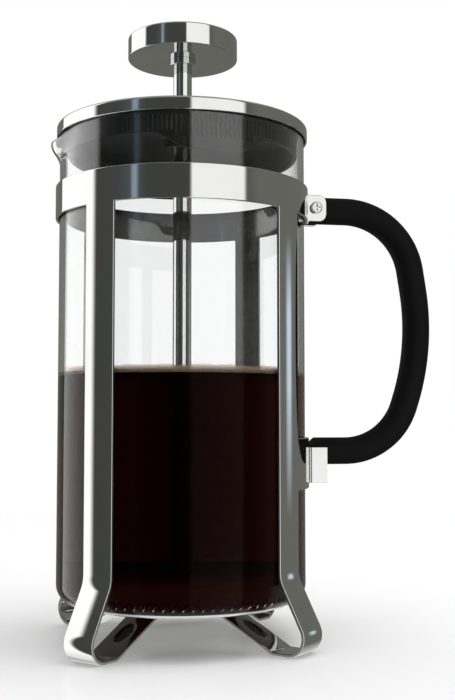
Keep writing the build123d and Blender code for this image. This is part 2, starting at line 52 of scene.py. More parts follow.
# ---------------------------------------------------------------- mesh helpers
def round_corners(points, radii, closed=False, arc_step=ARC_STEP):
    """A 2-D polyline with its corners turned into arcs. radii has one value per point, 0 for none."""
    pts = [np.array(p, float) for p in points]
    count = len(pts)
    out = []
    for i, here in enumerate(pts):
        inner = closed or 0 < i < count - 1
        if not inner or radii[i] <= 0:
            out.append(here)
            continue
        before, after = pts[i - 1], pts[(i + 1) % count]
        back = (before - here) / np.linalg.norm(before - here)
        ahead = (after - here) / np.linalg.norm(after - here)
        corner = math.acos(float(np.clip(back @ ahead, -1, 1)))
        tangent = radii[i] / math.tan(corner / 2)
        bisector = (back + ahead) / np.linalg.norm(back + ahead)
        centre = here + bisector * radii[i] / math.sin(corner / 2)
        start, end = here + back * tangent - centre, here + ahead * tangent - centre
        sweep = math.pi - corner
        steps = max(3, int(math.ceil(sweep / arc_step)))
        for k in range(steps + 1):
            a = k / steps
            arc = start * math.sin((1 - a) * sweep) + end * math.sin(a * sweep)
            out.append(centre + arc / math.sin(sweep))
    return np.array(out)


def spread(points, longest):
    """The polyline with points added so that no run is longer than longest."""
    out = [points[0]]
    for a, b in zip(points[:-1], points[1:]):
        parts = max(1, int(math.ceil(np.linalg.norm(b - a) / longest)))
        out += [a + (b - a) * k / parts for k in range(1, parts + 1)]
    return np.array(out)


def grid_object(name, rows, closed_rows=False, closed_columns=True, caps=True, sharp=40):
    """A mesh through a grid of points (rows, columns, xyz), with welded poles and smooth shading."""
    rows = np.asarray(rows, float)
    count, width = rows.shape[:2]
    faces = []
    for i in range(count if closed_rows else count - 1):
        for j in range(width if closed_columns else width - 1):
            a, b = i * width + j, i * width + (j + 1) % width
            c = ((i + 1) % count) * width
            faces.append((a, b, c + (j + 1) % width, c + j))
    if caps and not closed_rows:
        faces.append(tuple(range(width))[::-1])
        faces.append(tuple((count - 1) * width + j for j in range(width)))
    mesh = bpy.data.meshes.new(name)
    mesh.from_pydata(rows.reshape(-1, 3).tolist(), [], faces)
    bm = bmesh.new()
    bm.from_mesh(mesh)
    bmesh.ops.remove_doubles(bm, verts=bm.verts, dist=1e-7)
    bmesh.ops.recalc_face_normals(bm, faces=bm.faces)
    bm.to_mesh(mesh)
    bm.free()
    return finish_mesh(name, mesh, sharp)


def finish_mesh(name, mesh, sharp=40):
    """Smooth shading with hard edges past an angle, weighted towards the large faces."""
    mesh.validate()
    for polygon in mesh.polygons:
        polygon.use_smooth = True
    mesh.set_sharp_from_angle(angle=math.radians(sharp))
    piece = bpy.data.objects.new(name, mesh)
    bpy.context.scene.collection.objects.link(piece)
    weighted = piece.modifiers.new("face_weight", "WEIGHTED_NORMAL")
    weighted.keep_sharp = True
    return piece


def lathe(name, profile, closed=False, steps=TURN_STEPS, sharp=40):
    """A turned part from (radius, height) points. A closed profile makes a ring."""
    profile = np.asarray(profile, float)
    angles = np.arange(steps) * 2 * math.pi / steps
    rows = np.empty((len(profile), steps, 3))
    rows[:, :, 0] = profile[:, :1] * np.cos(angles)
    rows[:, :, 1] = profile[:, :1] * np.sin(angles)
    rows[:, :, 2] = profile[:, 1:]
    return grid_object(name, rows, closed_rows=closed, caps=False, sharp=sharp)


def rounded_rectangle(width, height, radius):
    """A closed outline, centred on the origin, with rounded corners."""
    w, h = width / 2, height / 2
    corners = [(-w, -h), (w, -h), (w, h), (-w, h)]
    return round_corners(corners, [radius] * 4, closed=True)


def tangents(path, closed=False):
    """Unit tangents of a path of points."""
    if closed:
        step = np.roll(path, -1, 0) - np.roll(path, 1, 0)
    else:
        step = np.gradient(path, axis=0)
    return step / np.linalg.norm(step, axis=1, keepdims=True)


def upright_strip(name, path, sheet, heights, middles, edge):
    """A sheet-metal strip that stands on edge along a plan path, with a height at each station."""
    path = np.asarray(path, float)
    along = tangents(path)
    normal = np.stack([along[:, 1], -along[:, 0]], 1)
    rows = []
    for p, n, height, middle in zip(path, normal, heights, middles):
        radius = min(edge, sheet / 2.001, height / 2.001)
        outline = rounded_rectangle(sheet, height, radius)
        rows.append([(p[0] + n[0] * u, p[1] + n[1] * u, middle + h) for u, h in outline])
    return grid_object(name, rows)


def smooth_step(x):
    x = np.clip(x, 0, 1)
    return x * x * (3 - 2 * x)


# ---------------------------------------------------------------- material helpers
def new_material(name):
    material = bpy.data.materials.new(name)
    material.use_nodes = True
    return material, material.node_tree, material.node_tree.nodes["Principled BSDF"]


def object_coordinates(tree, scale=(1, 1, 1)):
    coordinates = tree.nodes.new("ShaderNodeTexCoord")
    mapping = tree.nodes.new("ShaderNodeMapping")
    mapping.inputs["Scale"].default_value = scale
    tree.links.new(coordinates.outputs["Object"], mapping.inputs["Vector"])
    return mapping.outputs["Vector"]


def noise(tree, vector, scale, detail=2.0, roughness=0.5):
    node = tree.nodes.new("ShaderNodeTexNoise")
    node.inputs["Scale"].default_value = scale
    node.inputs["Detail"].default_value = detail
    node.inputs["Roughness"].default_value = roughness
    tree.links.new(vector, node.inputs["Vector"])
    return node.outputs["Fac"]


def mapped(tree, value, low, high, source=(0.3, 0.7)):
    node = tree.nodes.new("ShaderNodeMapRange")
    node.inputs["From Min"].default_value = source[0]
    node.inputs["From Max"].default_value = source[1]
    node.inputs["To Min"].default_value = low
    node.inputs["To Max"].default_value = high
    tree.links.new(value, node.inputs["Value"])
    return node.outputs["Result"]


def mixed_colour(tree, value, low, high):
    node = tree.nodes.new("ShaderNodeMix")
    node.data_type = "RGBA"
    node.inputs["A"].default_value = (*low, 1)
    node.inputs["B"].default_value = (*high, 1)
    tree.links.new(value, node.inputs["Factor"])
    return node.outputs["Result"]


def blend_colours(tree, factor, first, second):
    """Mixes two colours, each a socket or a fixed tone."""
    node = tree.nodes.new("ShaderNodeMix")
    node.data_type = "RGBA"
    tree.links.new(factor, node.inputs["Factor"])
    for name, value in (("A", first), ("B", second)):
        if isinstance(value, tuple):
            node.inputs[name].default_value = (*value, 1)
        else:
            tree.links.new(value, node.inputs[name])
    return node.outputs["Result"]


def compare(tree, operation, value, limit):
    node = tree.nodes.new("ShaderNodeMath")
    node.operation = operation
    tree.links.new(value, node.inputs[0])
    if isinstance(limit, float):
        node.inputs[1].default_value = limit
    else:
        tree.links.new(limit, node.inputs[1])
    return node.outputs[0]


def add_bump(tree, shader, height, strength, distance):
    node = tree.nodes.new("ShaderNodeBump")
    node.inputs["Strength"].default_value = strength
    node.inputs["Distance"].default_value = distance
    tree.links.new(height, node.inputs["Height"])
    tree.links.new(node.outputs["Normal"], shader.inputs["Normal"])


# ---------------------------------------------------------------- materials
def polished_steel(name="polished_steel", tone=(0.62, 0.62, 0.612), rough=(0.02, 0.06), grain=(1, 1, 1)):
    """Bright steel with faint polishing haze and hairlines."""
    material, tree, shader = new_material(name)
    vector = object_coordinates(tree)
    haze = noise(tree, vector, 45, 4)
    darker = tuple(c * 0.93 for c in tone)
    tree.links.new(mixed_colour(tree, mapped(tree, haze, 0, 1), darker, tone), shader.inputs["Base Color"])
    shader.inputs["Metallic"].default_value = 1.0
    hairs = noise(tree, object_coordinates(tree, grain), 900, 3, 0.6)
    tree.links.new(mapped(tree, hairs, *rough), shader.inputs["Roughness"])
    add_bump(tree, shader, hairs, 0.03, 0.02 * MM)
    return material


def brushed_steel(name, tone, rough, grain, strength=0.15):
    """Duller steel with visible brushing along one direction."""
    material, tree, shader = new_material(name)
    lines = noise(tree, object_coordinates(tree, grain), 700, 3, 0.65)
    darker = tuple(c * 0.82 for c in tone)
    tree.links.new(mixed_colour(tree, mapped(tree, lines, 0, 1), darker, tone), shader.inputs["Base Color"])
    shader.inputs["Metallic"].default_value = 1.0
    tree.links.new(mapped(tree, lines, *rough), shader.inputs["Roughness"])
    add_bump(tree, shader, lines, strength, 0.04 * MM)
    return material


def clear_glass():
    """Clear borosilicate with faint upright draw lines. Between the glass floor and the coffee line its reflection
    is dimmed and its colour tinted by height, a painted shade and tint for the coffee behind it, and a thin band
    at the base edge is turned mostly opaque white, a painted highlight.
    """
    material, tree, shader = new_material("clear_glass")
    shader.inputs["IOR"].default_value = 1.5
    lines = noise(tree, object_coordinates(tree, (1, 1, 0.03)), 70, 1)
    tree.links.new(mapped(tree, lines, 0.0, 0.006), shader.inputs["Roughness"])
    add_bump(tree, shader, lines, 0.02, 0.05 * MM)
    height = tree.nodes.new("ShaderNodeSeparateXYZ")
    tree.links.new(object_coordinates(tree), height.inputs["Vector"])
    above = mapped(tree, height.outputs["Z"], 0, 1, (0.102, 0.106))
    below = mapped(tree, height.outputs["Z"], 1, 0, (0.0162, 0.0172))
    clear = compare(tree, "MAXIMUM", above, below)
    # painted shade and tint: between the glass floor and the coffee line the reflection is dimmed to 0.03 and the
    # colour tinted reddish, by height
    tree.links.new(mixed_colour(tree, clear, (0.03,) * 3, (1,) * 3), shader.inputs["Specular Tint"])
    tint = mixed_colour(tree, clear, (0.97, 0.83, 0.785), (0.985, 0.99, 0.988))
    tree.links.new(tint, shader.inputs["Base Color"])
    # painted highlight: a thin band round the base edge drops to 0.15 transmission and shows as a white line
    over = mapped(tree, height.outputs["Z"], 0, 1, (0.0154, 0.0157))
    under = mapped(tree, height.outputs["Z"], 1, 0, (0.0165, 0.0168))
    painted_base_highlight = compare(tree, "MULTIPLY", over, under)
    tree.links.new(mapped(tree, painted_base_highlight, 1, 0.15, (0, 1)), shader.inputs["Transmission Weight"])
    return material


def moulded_plastic(name, tone, rough, grain_scale, strength, gloss):
    """Black moulded plastic with a fine spark-eroded grain."""
    material, tree, shader = new_material(name)
    vector = object_coordinates(tree)
    grain = noise(tree, vector, grain_scale, 3, 0.6)
    patches = noise(tree, vector, 60, 2)
    lighter = tuple(c * 1.35 for c in tone)
    tree.links.new(mixed_colour(tree, mapped(tree, patches, 0, 1), tone, lighter), shader.inputs["Base Color"])
    tree.links.new(mapped(tree, patches, *rough), shader.inputs["Roughness"])
    shader.inputs["Specular IOR Level"].default_value = gloss
    add_bump(tree, shader, grain, strength, 0.05 * MM)
    return material


def coffee_liquid():
    """Black coffee: clear at its surface, and soon dark inside."""
    material, tree, shader = new_material("coffee")
    shader.inputs["Base Color"].default_value = (1, 1, 1, 1)
    shader.inputs["Transmission Weight"].default_value = 1.0
    shader.inputs["Roughness"].default_value = 0.0
    shader.inputs["IOR"].default_value = 1.33
    shader.inputs["Specular Tint"].default_value = (0.02, 0.02, 0.02, 1)
    absorption = tree.nodes.new("ShaderNodeVolumeAbsorption")
    absorption.inputs["Color"].default_value = (0.5, 0.2, 0.12, 1)
    absorption.inputs["Density"].default_value = 128
    output = tree.nodes["Material Output"]
    tree.links.new(absorption.outputs["Volume"], output.inputs["Volume"])
    return material


def coffee_foam():
    """The thin beige line of foam round the top of the coffee, fading out upwards."""
    material, tree, shader = new_material("foam")
    vector = object_coordinates(tree)
    bubbles = tree.nodes.new("ShaderNodeTexVoronoi")
    bubbles.inputs["Scale"].default_value = 900
    tree.links.new(vector, bubbles.inputs["Vector"])
    height = tree.nodes.new("ShaderNodeSeparateXYZ")
    tree.links.new(vector, height.inputs["Vector"])
    rise = mapped(tree, height.outputs["Z"], 0, 1, (0.1017, 0.1045))
    dark = mixed_colour(tree, bubbles.outputs["Distance"], (0.20, 0.155, 0.09), (0.34, 0.28, 0.17))
    light = mixed_colour(tree, bubbles.outputs["Distance"], (0.55, 0.50, 0.38), (0.75, 0.71, 0.60))
    tone = tree.nodes.new("ShaderNodeMix")
    tone.data_type = "RGBA"
    tree.links.new(rise, tone.inputs["Factor"])
    tree.links.new(dark, tone.inputs["A"])
    tree.links.new(light, tone.inputs["B"])
    tree.links.new(tone.outputs["Result"], shader.inputs["Base Color"])
    tree.links.new(mapped(tree, height.outputs["Z"], 1, 0, (0.1026, 0.1050)), shader.inputs["Alpha"])
    shader.inputs["Roughness"].default_value = 0.6
    add_bump(tree, shader, bubbles.outputs["Distance"], 0.4, 0.3 * MM)
    return material


STEEL = polished_steel()
FASTENER = brushed_steel("turned_steel", (0.66, 0.66, 0.65), (0.12, 0.25), (1, 8, 1), 0.05)
FILTER = brushed_steel("pressed_steel", (0.60, 0.60, 0.585), (0.18, 0.34), (6, 1, 1))
GLASS = clear_glass()
HANDLE = moulded_plastic("handle_plastic", (0.0042, 0.0042, 0.0042), (0.5, 0.6), 2600, 0.18, 0.06)
LINER = moulded_plastic("liner_plastic", (0.006, 0.006, 0.006), (0.34, 0.44), 1500, 0.06, 0.25)
# darker steel for the inward faces, also used as a painted shade on the strap dimple floors
DARK_INSIDE_AND_DIMPLE_SHADE = brushed_steel("dark_inside_and_dimple_shade", (0.13, 0.13, 0.125), (0.16, 0.3), (1, 1, 6), 0.05)
EDGE = brushed_steel("sheared_edge", (0.28, 0.28, 0.275), (0.3, 0.45), (1, 1, 0.2), 0.1)


def dress(piece, material, body, slot, *nodes):
    """Gives a piece its material and body, and hides the CAD nodes that it stands for. The slot argument is not
    used.
    """
    piece.data.materials.clear()
    piece.data.materials.append(material)
    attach(piece, body)
    if nodes:
        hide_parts(*nodes)
    return piece


def darken_inside_and_dimple(piece, limit, azimuth=None):
    """Darker steel on the inner faces of a formed sheet piece and, on a strap at an azimuth, duller sheared edges
    and a darker dimple floor, a painted shade in the recess.
    """
    piece.data.materials.append(DARK_INSIDE_AND_DIMPLE_SHADE)
    piece.data.materials.append(EDGE)
    for polygon in piece.data.polygons:
        middle, normal = polygon.center, polygon.normal
        reach = math.hypot(middle.x, middle.y)
        outward = (normal.x * middle.x + normal.y * middle.y) / reach
        if outward < limit:
            polygon.material_index = 1
        if azimuth is not None:
            sideways = normal.y * math.cos(azimuth) - normal.x * math.sin(azimuth)
            across = middle.y * math.cos(azimuth) - middle.x * math.sin(azimuth)
            spot = math.hypot((reach - dimple_place) / (0.44 * dimple_length), across / (0.5 * dimple_width))
            if abs(sideways) > 0.85:
                polygon.material_index = 2
            # painted shade: the dimple's floor takes the darker steel
            elif spot < 1 and normal.z > 0.3 and middle.z > sheet:
                polygon.material_index = 1


# ---------------------------------------------------------------- glass beaker
glass_low, glass_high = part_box("glass_beaker")
glass_radius = glass_high.y
glass_wall = 2.2 * MM
glass_floor = glass_low.z + 2.6 * MM
glass_inner = glass_radius - glass_wall
glass_rim = glass_high.z
spout_tip = -glass_low.x - 0.02 * MM
spout_height = 9.0 * MM
spout_dip = 1.95 * MM
spout_half_width = 24.0 * MM


def make_beaker():
    """The beaker's wall and floor, with the lip drawn out of the rim towards -X."""
    outline = round_corners(
        [(0, glass_low.z), (glass_radius, glass_low.z), (glass_radius, glass_rim),
         (glass_inner, glass_rim), (glass_inner, glass_floor), (0, glass_floor)],
        [0, 7 * MM, 1.08 * MM, 1.08 * MM, 2 * MM, 0],
    )
    outline = spread(outline, 1.5 * MM)
    steps = 2 * TURN_STEPS
    angle = np.arange(steps) * 2 * math.pi / steps
    off_spout = np.abs(angle - math.pi)
    softened = np.sqrt(off_spout**2 + math.radians(1.5) ** 2) - math.radians(0.4)
    touch = math.acos(glass_radius / (spout_tip + 0.35 * MM))
    reach = glass_radius / np.cos(np.clip(touch - softened, 0, None)) - glass_radius
    across = glass_radius * np.sin(angle)
    dip = np.where(off_spout < math.pi / 2, spout_dip * smooth_step(1 - np.abs(across) / spout_half_width), 0)
    rows = np.empty((len(outline), steps, 3))
    for row, (radius, height) in zip(rows, outline):
        rise = smooth_step((height - glass_rim + spout_height + spout_dip) / spout_height)
        share = rise * min(1.0, radius / glass_inner)
        r = radius + reach * share
        row[:, 0] = r * np.cos(angle)
        row[:, 1] = r * np.sin(angle)
        row[:, 2] = height - dip * smooth_step((height - glass_rim + 14 * MM) / (14 * MM))
    return grid_object("beaker_glass", rows, caps=False, sharp=60)


dress(make_beaker(), GLASS, "beaker", "glass", "glass_beaker")

# ---------------------------------------------------------------- coffee and its foam
coffee_level = 101.7 * MM
coffee_overlap = 0.03 * MM
meniscus = 1.2 * MM


def make_coffee():
    wall = glass_inner + coffee_overlap
    outline = round_corners(
        [(0, glass_floor - coffee_overlap), (wall, glass_floor - coffee_overlap),
         (wall, coffee_level + meniscus)],
        [0, 2 * MM, 0],
    )
    curve = [(wall - meniscus * k / 6, coffee_level + meniscus * (1 - k / 6) ** 2) for k in range(1, 7)]
    return lathe("coffee", np.vstack([spread(outline, 6 * MM), curve, [(0, coffee_level)]]), sharp=50)


def make_foam():
    """A ring of foam on the coffee against the glass, its top edge uneven."""
    steps = 2 * TURN_STEPS
    angle = np.arange(steps) * 2 * math.pi / steps
    ripple = 0.35 * np.sin(23 * angle) + 0.25 * np.sin(41 * angle + 1) + 0.2 * np.sin(67 * angle + 2)
    wall = glass_inner - 0.04 * MM
    low, high = coffee_level + 0.1 * MM, coffee_level + 3.2 * MM
    outline = round_corners([(wall - 5 * MM, low), (wall, low), (wall, high), (wall - 5 * MM, low + 1.2 * MM)],
                            [0.3 * MM, 0.1 * MM, 0.6 * MM, 0.4 * MM], closed=True)
    rows = np.empty((len(outline), steps, 3))
    for row, (radius, height) in zip(rows, outline):
        row[:, 0] = radius * np.cos(angle)
        row[:, 1] = radius * np.sin(angle)
        row[:, 2] = height + ripple * 0.4 * MM * (height - low) / (high - low)
    return grid_object("coffee_foam", rows, closed_rows=True, caps=False)


def make_grounds():
    """The dark bed of grounds inside the coffee, level with the pressed filter."""
    wall = glass_inner - 2.9 * MM
    low = glass_floor + 0.35 * MM
    top = glass_floor + 9.5 * MM
    outline = round_corners([(0, low), (wall, low), (wall, top), (0, top)], [0, 0.3 * MM, 2 * MM, 0])
    return lathe("grounds", spread(outline, 4 * MM))


def ground_coffee():
    """Wet ground coffee: nearly black with a coarse grain, and a faint reddish emission, a painted glow."""
    material, tree, shader = new_material("grounds")
    vector = object_coordinates(tree)
    grains = noise(tree, vector, 1400, 4, 0.7)
    tree.links.new(mixed_colour(tree, grains, (0.0015, 0.0008, 0.0006), (0.012, 0.005, 0.003)), shader.inputs["Base Color"])
    shader.inputs["Roughness"].default_value = 0.9
    shader.inputs["Specular IOR Level"].default_value = 0.1
    # painted glow: a faint reddish emission, as if light came through the coffee
    shader.inputs["Emission Color"].default_value = (1.0, 0.16, 0.10, 1)
    shader.inputs["Emission Strength"].default_value = 0.007
    add_bump(tree, shader, grains, 0.5, 0.4 * MM)
    return material


for content, look in ((make_coffee(), coffee_liquid()), (make_foam(), coffee_foam()),
                      (make_grounds(), ground_coffee())):
    content.data.materials.append(look)
    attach(content, "beaker")

# ---------------------------------------------------------------- cradle: band, legs, saddle, bracket
band_low, band_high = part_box("upper_band")
sheet = 1.2 * MM
edge_round = 0.35 * MM
frame_radius = band_high.y - sheet / 2
band_height = band_high.z - band_low.z
band_middle = (band_high.z + band_low.z) / 2
ear_gap = 5.1 * MM
ear_height = 10.7 * MM
ear_corner = 2.7 * MM
ear_lift = 0.4 * MM
ear_bend = 1.6 * MM
ear_face = ear_gap + sheet / 2


def arc_plan(radius, start, end, steps):
    """Plan points of an arc about the axis, angles in radians."""
    turn = np.linspace(start, end, steps)
    return np.stack([radius * np.cos(turn), radius * np.sin(turn)], 1)


def make_band():
    """The band's plan runs along one ear, round the beaker and out along the other ear."""
    corner_angle = math.asin((ear_face + ear_bend) / frame_radius)
    ring = arc_plan(frame_radius, corner_angle, 2 * math.pi - corner_angle, TURN_STEPS)
    root = math.sqrt(frame_radius**2 - ear_face**2)
    first = round_corners([(band_high.x, ear_face), (root, ear_face), tuple(ring[0])], [0, ear_bend * 0.62, 0])
    first = np.vstack([spread(first[:2], 0.35 * MM), first[2:-1]])
    path = np.vstack([first, ring, first[::-1] * (1, -1)])
    to_end = band_high.x - path[:, 0]
    inside = np.clip(ear_corner - to_end, 0, ear_corner)
    rounded = ear_height - 2 * (ear_corner - np.sqrt(np.maximum(ear_corner**2 - inside**2, 1e-12)))
    on_band = smooth_step((to_end - 7.0 * MM) / (0.7 * MM))
    heights = rounded * (1 - on_band) + band_height * on_band
    middles = band_middle + ear_lift * (1 - on_band)
    return upright_strip("band", path, sheet, heights, middles, edge_round)


darken_inside_and_dimple(dress(make_band(), STEEL, "cradle", "polished_steel", "upper_band"), -0.5)

strap_width = 13.2 * MM
leg_seam = 0.01 * MM
leg_overlap = 1.0 * MM
flare_start = 27.0 * MM
flare_reach = 14.0 * MM
foot_inset = 3.15 * MM
seat_radius, seat_end = 22.0 * MM, 12.0 * MM
seat_level = glass_low.z - 1.5 * sheet
leg_bends = [0, 11 * MM, 6.5 * MM, 3.5 * MM, 3 * MM, 0]
dimple_length, dimple_width, dimple_depth = 11.0 * MM, 5.4 * MM, 0.6 * MM
dimple_place = (frame_radius - foot_inset + seat_radius) / 2


def strip_outline():
    """The strap's section, with points along its wide faces."""
    outline = rounded_rectangle(strap_width, sheet, edge_round)
    closed = np.vstack([outline, outline[:1]])
    return spread(closed, 0.7 * MM)[:-1]


def make_leg(name, azimuth):
    """One bent strip: strap, splayed foot, dimpled strut and the tab under the base plate."""
    route = [
        (frame_radius, band_low.z + leg_overlap), (frame_radius, flare_start),
        (frame_radius + flare_reach, sheet / 2), (frame_radius - foot_inset, sheet / 2),
        (seat_radius, seat_level), (seat_end, seat_level),
    ]
    path = round_corners(route, leg_bends, arc_step=math.radians(1.5))
    straight = [(frame_radius, flare_start + 6 * MM)]
    upper = spread(np.vstack([path[:1], straight]), 6 * MM)
    path = np.vstack([upper, spread(np.vstack([straight, path[1:]]), 0.6 * MM)[1:]])
    along = tangents(path)
    normal = np.stack([-along[:, 1], along[:, 0]], 1)
    dimple = (np.array(route[3]) + np.array(route[4])) / 2
    turn = math.radians(azimuth)
    rows = []
    for (radius, height), n in zip(path, normal):
        run = math.hypot(radius - dimple[0], height - dimple[1])
        on_strut = radius < frame_radius - foot_inset
        ring = []
        for across, depth in strip_outline():
            if on_strut and depth * n[1] > 0:
                spot = math.hypot(run / (dimple_length / 2), across / (dimple_width / 2))
                depth *= 1 - 2 * dimple_depth / sheet * float(smooth_step((1.08 - spot) / 0.16))
            reach = radius + leg_seam + n[0] * depth
            out = math.sqrt(reach**2 - across**2)
            ring.append((out * math.cos(turn) - across * math.sin(turn),
                         out * math.sin(turn) + across * math.cos(turn), height + n[1] * depth))
        rows.append(ring)
    return grid_object(name, rows)


for leg_name, azimuth in (("front_right", -45), ("back_right", 45), ("back_left", 135), ("front_left", -135)):
    strap = dress(make_leg("strap_" + leg_name, azimuth), STEEL, "cradle", "polished_steel", "leg_" + leg_name)
    darken_inside_and_dimple(strap, -0.95, math.radians(azimuth))

saddle_low, saddle_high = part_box("handle_saddle")
saddle_half_angle = math.atan2(saddle_high.y, saddle_low.x) + math.radians(0.2)
saddle_plan = arc_plan(frame_radius, -saddle_half_angle, saddle_half_angle, 60)
saddle_height = saddle_high.z - saddle_low.z
saddle = upright_strip("saddle", saddle_plan, sheet, [saddle_height] * 60,
                       [(saddle_low.z + saddle_high.z) / 2] * 60, edge_round)
dress(saddle, STEEL, "cradle", "polished_steel", "handle_saddle")

bracket_low, bracket_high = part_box("handle_bracket")
bracket_web = frame_radius + sheet
bracket_corner = (bracket_web - 0.1 * MM, ear_face)
bracket_plan = round_corners(
    [(bracket_high.x, -ear_face), (bracket_corner[0], -ear_face), (bracket_corner[0], ear_face),
     (bracket_high.x, ear_face)],
    [0, 1.0 * MM, 1.0 * MM, 0],
)
bracket_count = len(bracket_plan)
bracket = upright_strip("bracket", bracket_plan, sheet, [bracket_high.z - bracket_low.z] * bracket_count,
                        [(bracket_low.z + bracket_high.z) / 2] * bracket_count, 0.2 * MM)
dress(bracket, STEEL, "cradle", "polished_steel", "handle_bracket")

# ---------------------------------------------------------------- lid cover and guide bush
cover_low, cover_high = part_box("lid_cover")
guide_low, guide_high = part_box("rod_guide")
cover_sheet = 0.8 * MM
cover_rim_height = 4.9 * MM
rod_radius = 3.7 * MM
guide_bore = rod_radius + 0.05 * MM
guide_radius = guide_bore + 2.2 * MM
cover_bore = guide_radius + 0.05 * MM


def make_cover():
    """Drawn sheet: a short rim, a rounded edge and a low dome up to the bush."""
    radius = cover_high.y - cover_sheet / 2
    rim_top = cover_low.z + cover_rim_height - cover_sheet / 2
    top = cover_high.z - cover_sheet / 2
    route = [(radius, cover_low.z), (radius, rim_top), (0.55 * cover_high.y, top - 0.43 * MM), (cover_bore, top)]
    path = spread(round_corners(route, [0, 0.7 * MM, 60 * MM, 0]), 2 * MM)
    along = tangents(path)
    outward = np.stack([along[:, 1], -along[:, 0]], 1) * cover_sheet / 2
    section = np.vstack([path + outward, (path - outward)[::-1]])
    section = round_corners(section, [0.3 * MM if i in (0, len(section) - 1) else 0 for i in range(len(section))],
                            closed=True)
    return lathe("cover", section, closed=True)


dress(make_cover(), STEEL, "cover", "polished_steel", "lid_cover")

guide_flange = guide_high.y
guide_section = round_corners(
    [(guide_bore, guide_low.z), (guide_radius, guide_low.z), (guide_radius, guide_high.z - 1.0 * MM),
     (guide_flange, guide_high.z - 1.0 * MM), (guide_flange, guide_high.z), (guide_bore, guide_high.z)],
    [0.2 * MM, 0.3 * MM, 0.1 * MM, 0.2 * MM, 0.45 * MM, 0.3 * MM], closed=True)
dress(lathe("guide", guide_section, closed=True), STEEL, "guide", "polished_steel", "rod_guide")

# ---------------------------------------------------------------- plunger: rod, collar, knob, spring
rod_low, rod_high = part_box("plunger_rod")
knob_low, knob_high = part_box("knob")
collar_low, collar_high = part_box("knob_collar")
plate_low, plate_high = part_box("spring_plate")
spring_low, spring_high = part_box("coil_spring")
spigot_radius = 2.5 * MM

rod_profile = round_corners(
    [(0, rod_low.z), (spigot_radius, rod_low.z), (spigot_radius, plate_high.z), (rod_radius, plate_high.z),
     (rod_radius, knob_low.z), (spigot_radius, knob_low.z), (spigot_radius, rod_high.z), (0, rod_high.z)],
    [0, 0.4 * MM, 0, 0.25 * MM, 0.2 * MM, 0, 0.3 * MM, 0])
dress(lathe("rod", rod_profile, steps=96), STEEL, "plunger", "polished_steel", "plunger_rod")

collar_section = round_corners(
    [(rod_radius + 0.03 * MM, collar_low.z), (collar_high.y, collar_low.z), (collar_high.y, collar_high.z),
     (rod_radius + 0.03 * MM, collar_high.z)],
    [0.1 * MM, 0.35 * MM, 0.1 * MM, 0.1 * MM], closed=True)
dress(lathe("collar", collar_section, closed=True, steps=120), STEEL, "plunger", "polished_steel", "knob_collar")

knob_bore = spigot_radius + 0.03 * MM
knob_profile = round_corners(
    [(knob_bore, knob_low.z), (knob_high.y, knob_low.z), (knob_high.y, knob_high.z), (0, knob_high.z)],
    [0, 0.4 * MM, 0.8 * MM, 0])
knob_socket = [(0, rod_high.z + 0.01 * MM), (knob_bore, rod_high.z + 0.01 * MM)]
dress(lathe("disc_knob", np.vstack([knob_socket, spread(knob_profile, 4 * MM)])), STEEL, "plunger",
      "polished_steel", "knob")

spring_turns = 82
spring_wire = 0.30 * MM


def make_spring():
    """A wire coil bent into a ring: each turn goes once round the ring's tube."""
    samples = spring_turns * 18
    k = np.arange(samples)
    around = k * 2 * math.pi / samples
    coil = around * spring_turns
    tube_radius = (spring_high.z - spring_low.z) / 2 - spring_wire
    ring_radius = spring_high.y - tube_radius - spring_wire
    middle = (spring_low.z + spring_high.z) / 2
    r = ring_radius + tube_radius * np.cos(coil)
    path = np.stack([r * np.cos(around), r * np.sin(around), middle + tube_radius * np.sin(coil)], 1)
    along = tangents(path, closed=True)
    hub = np.stack([ring_radius * np.cos(around), ring_radius * np.sin(around), np.full(samples, middle)], 1)
    outward = path - hub
    outward -= (outward * along).sum(1, keepdims=True) * along
    outward /= np.linalg.norm(outward, axis=1, keepdims=True)
    side = np.cross(along, outward)
    turn = np.arange(8) * 2 * math.pi / 8
    rows = path[:, None] + spring_wire * (np.cos(turn)[None, :, None] * outward[:, None]
                                          + np.sin(turn)[None, :, None] * side[:, None])
    return grid_object("spring_coil", rows, closed_rows=True, caps=False)


def wire_with_painted_glints():
    """Steel wire painted dark all over, a painted shade, and left bright steel only on the low outer side of each
    turn, a painted glint.
    """
    material = polished_steel("spring_wire", (0.95, 0.95, 0.93))
    tree = material.node_tree
    shader = tree.nodes["Principled BSDF"]
    place = object_coordinates(tree)
    level = tree.nodes.new("ShaderNodeSeparateXYZ")
    tree.links.new(place, level.inputs["Vector"])
    flat = tree.nodes.new("ShaderNodeVectorMath")
    flat.operation = "LENGTH"
    tree.links.new(object_coordinates(tree, (1, 1, 0)), flat.inputs[0])
    ring = spring_high.y - (spring_high.z - spring_low.z) / 2
    middle = (spring_low.z + spring_high.z) / 2
    # painted glint: only the low outer side of each turn keeps the bright steel; the rest is painted dark, a
    # painted shade
    outer = mapped(tree, flat.outputs["Value"], 0, 1, (ring + 0.45 * MM, ring + 0.65 * MM))
    lower = mapped(tree, level.outputs["Z"], 0, 1, (middle - 0.35 * MM, middle - 0.55 * MM))
    painted_glint = compare(tree, "MULTIPLY", outer, lower)
    steel_tone = shader.inputs["Base Color"].links[0].from_socket
    painted_shade_and_glint = blend_colours(tree, painted_glint, (0.035, 0.025, 0.02), steel_tone)
    tree.links.new(painted_shade_and_glint, shader.inputs["Base Color"])
    return material


dress(make_spring(), wire_with_painted_glints(), "plunger", "spring_wire", "coil_spring")

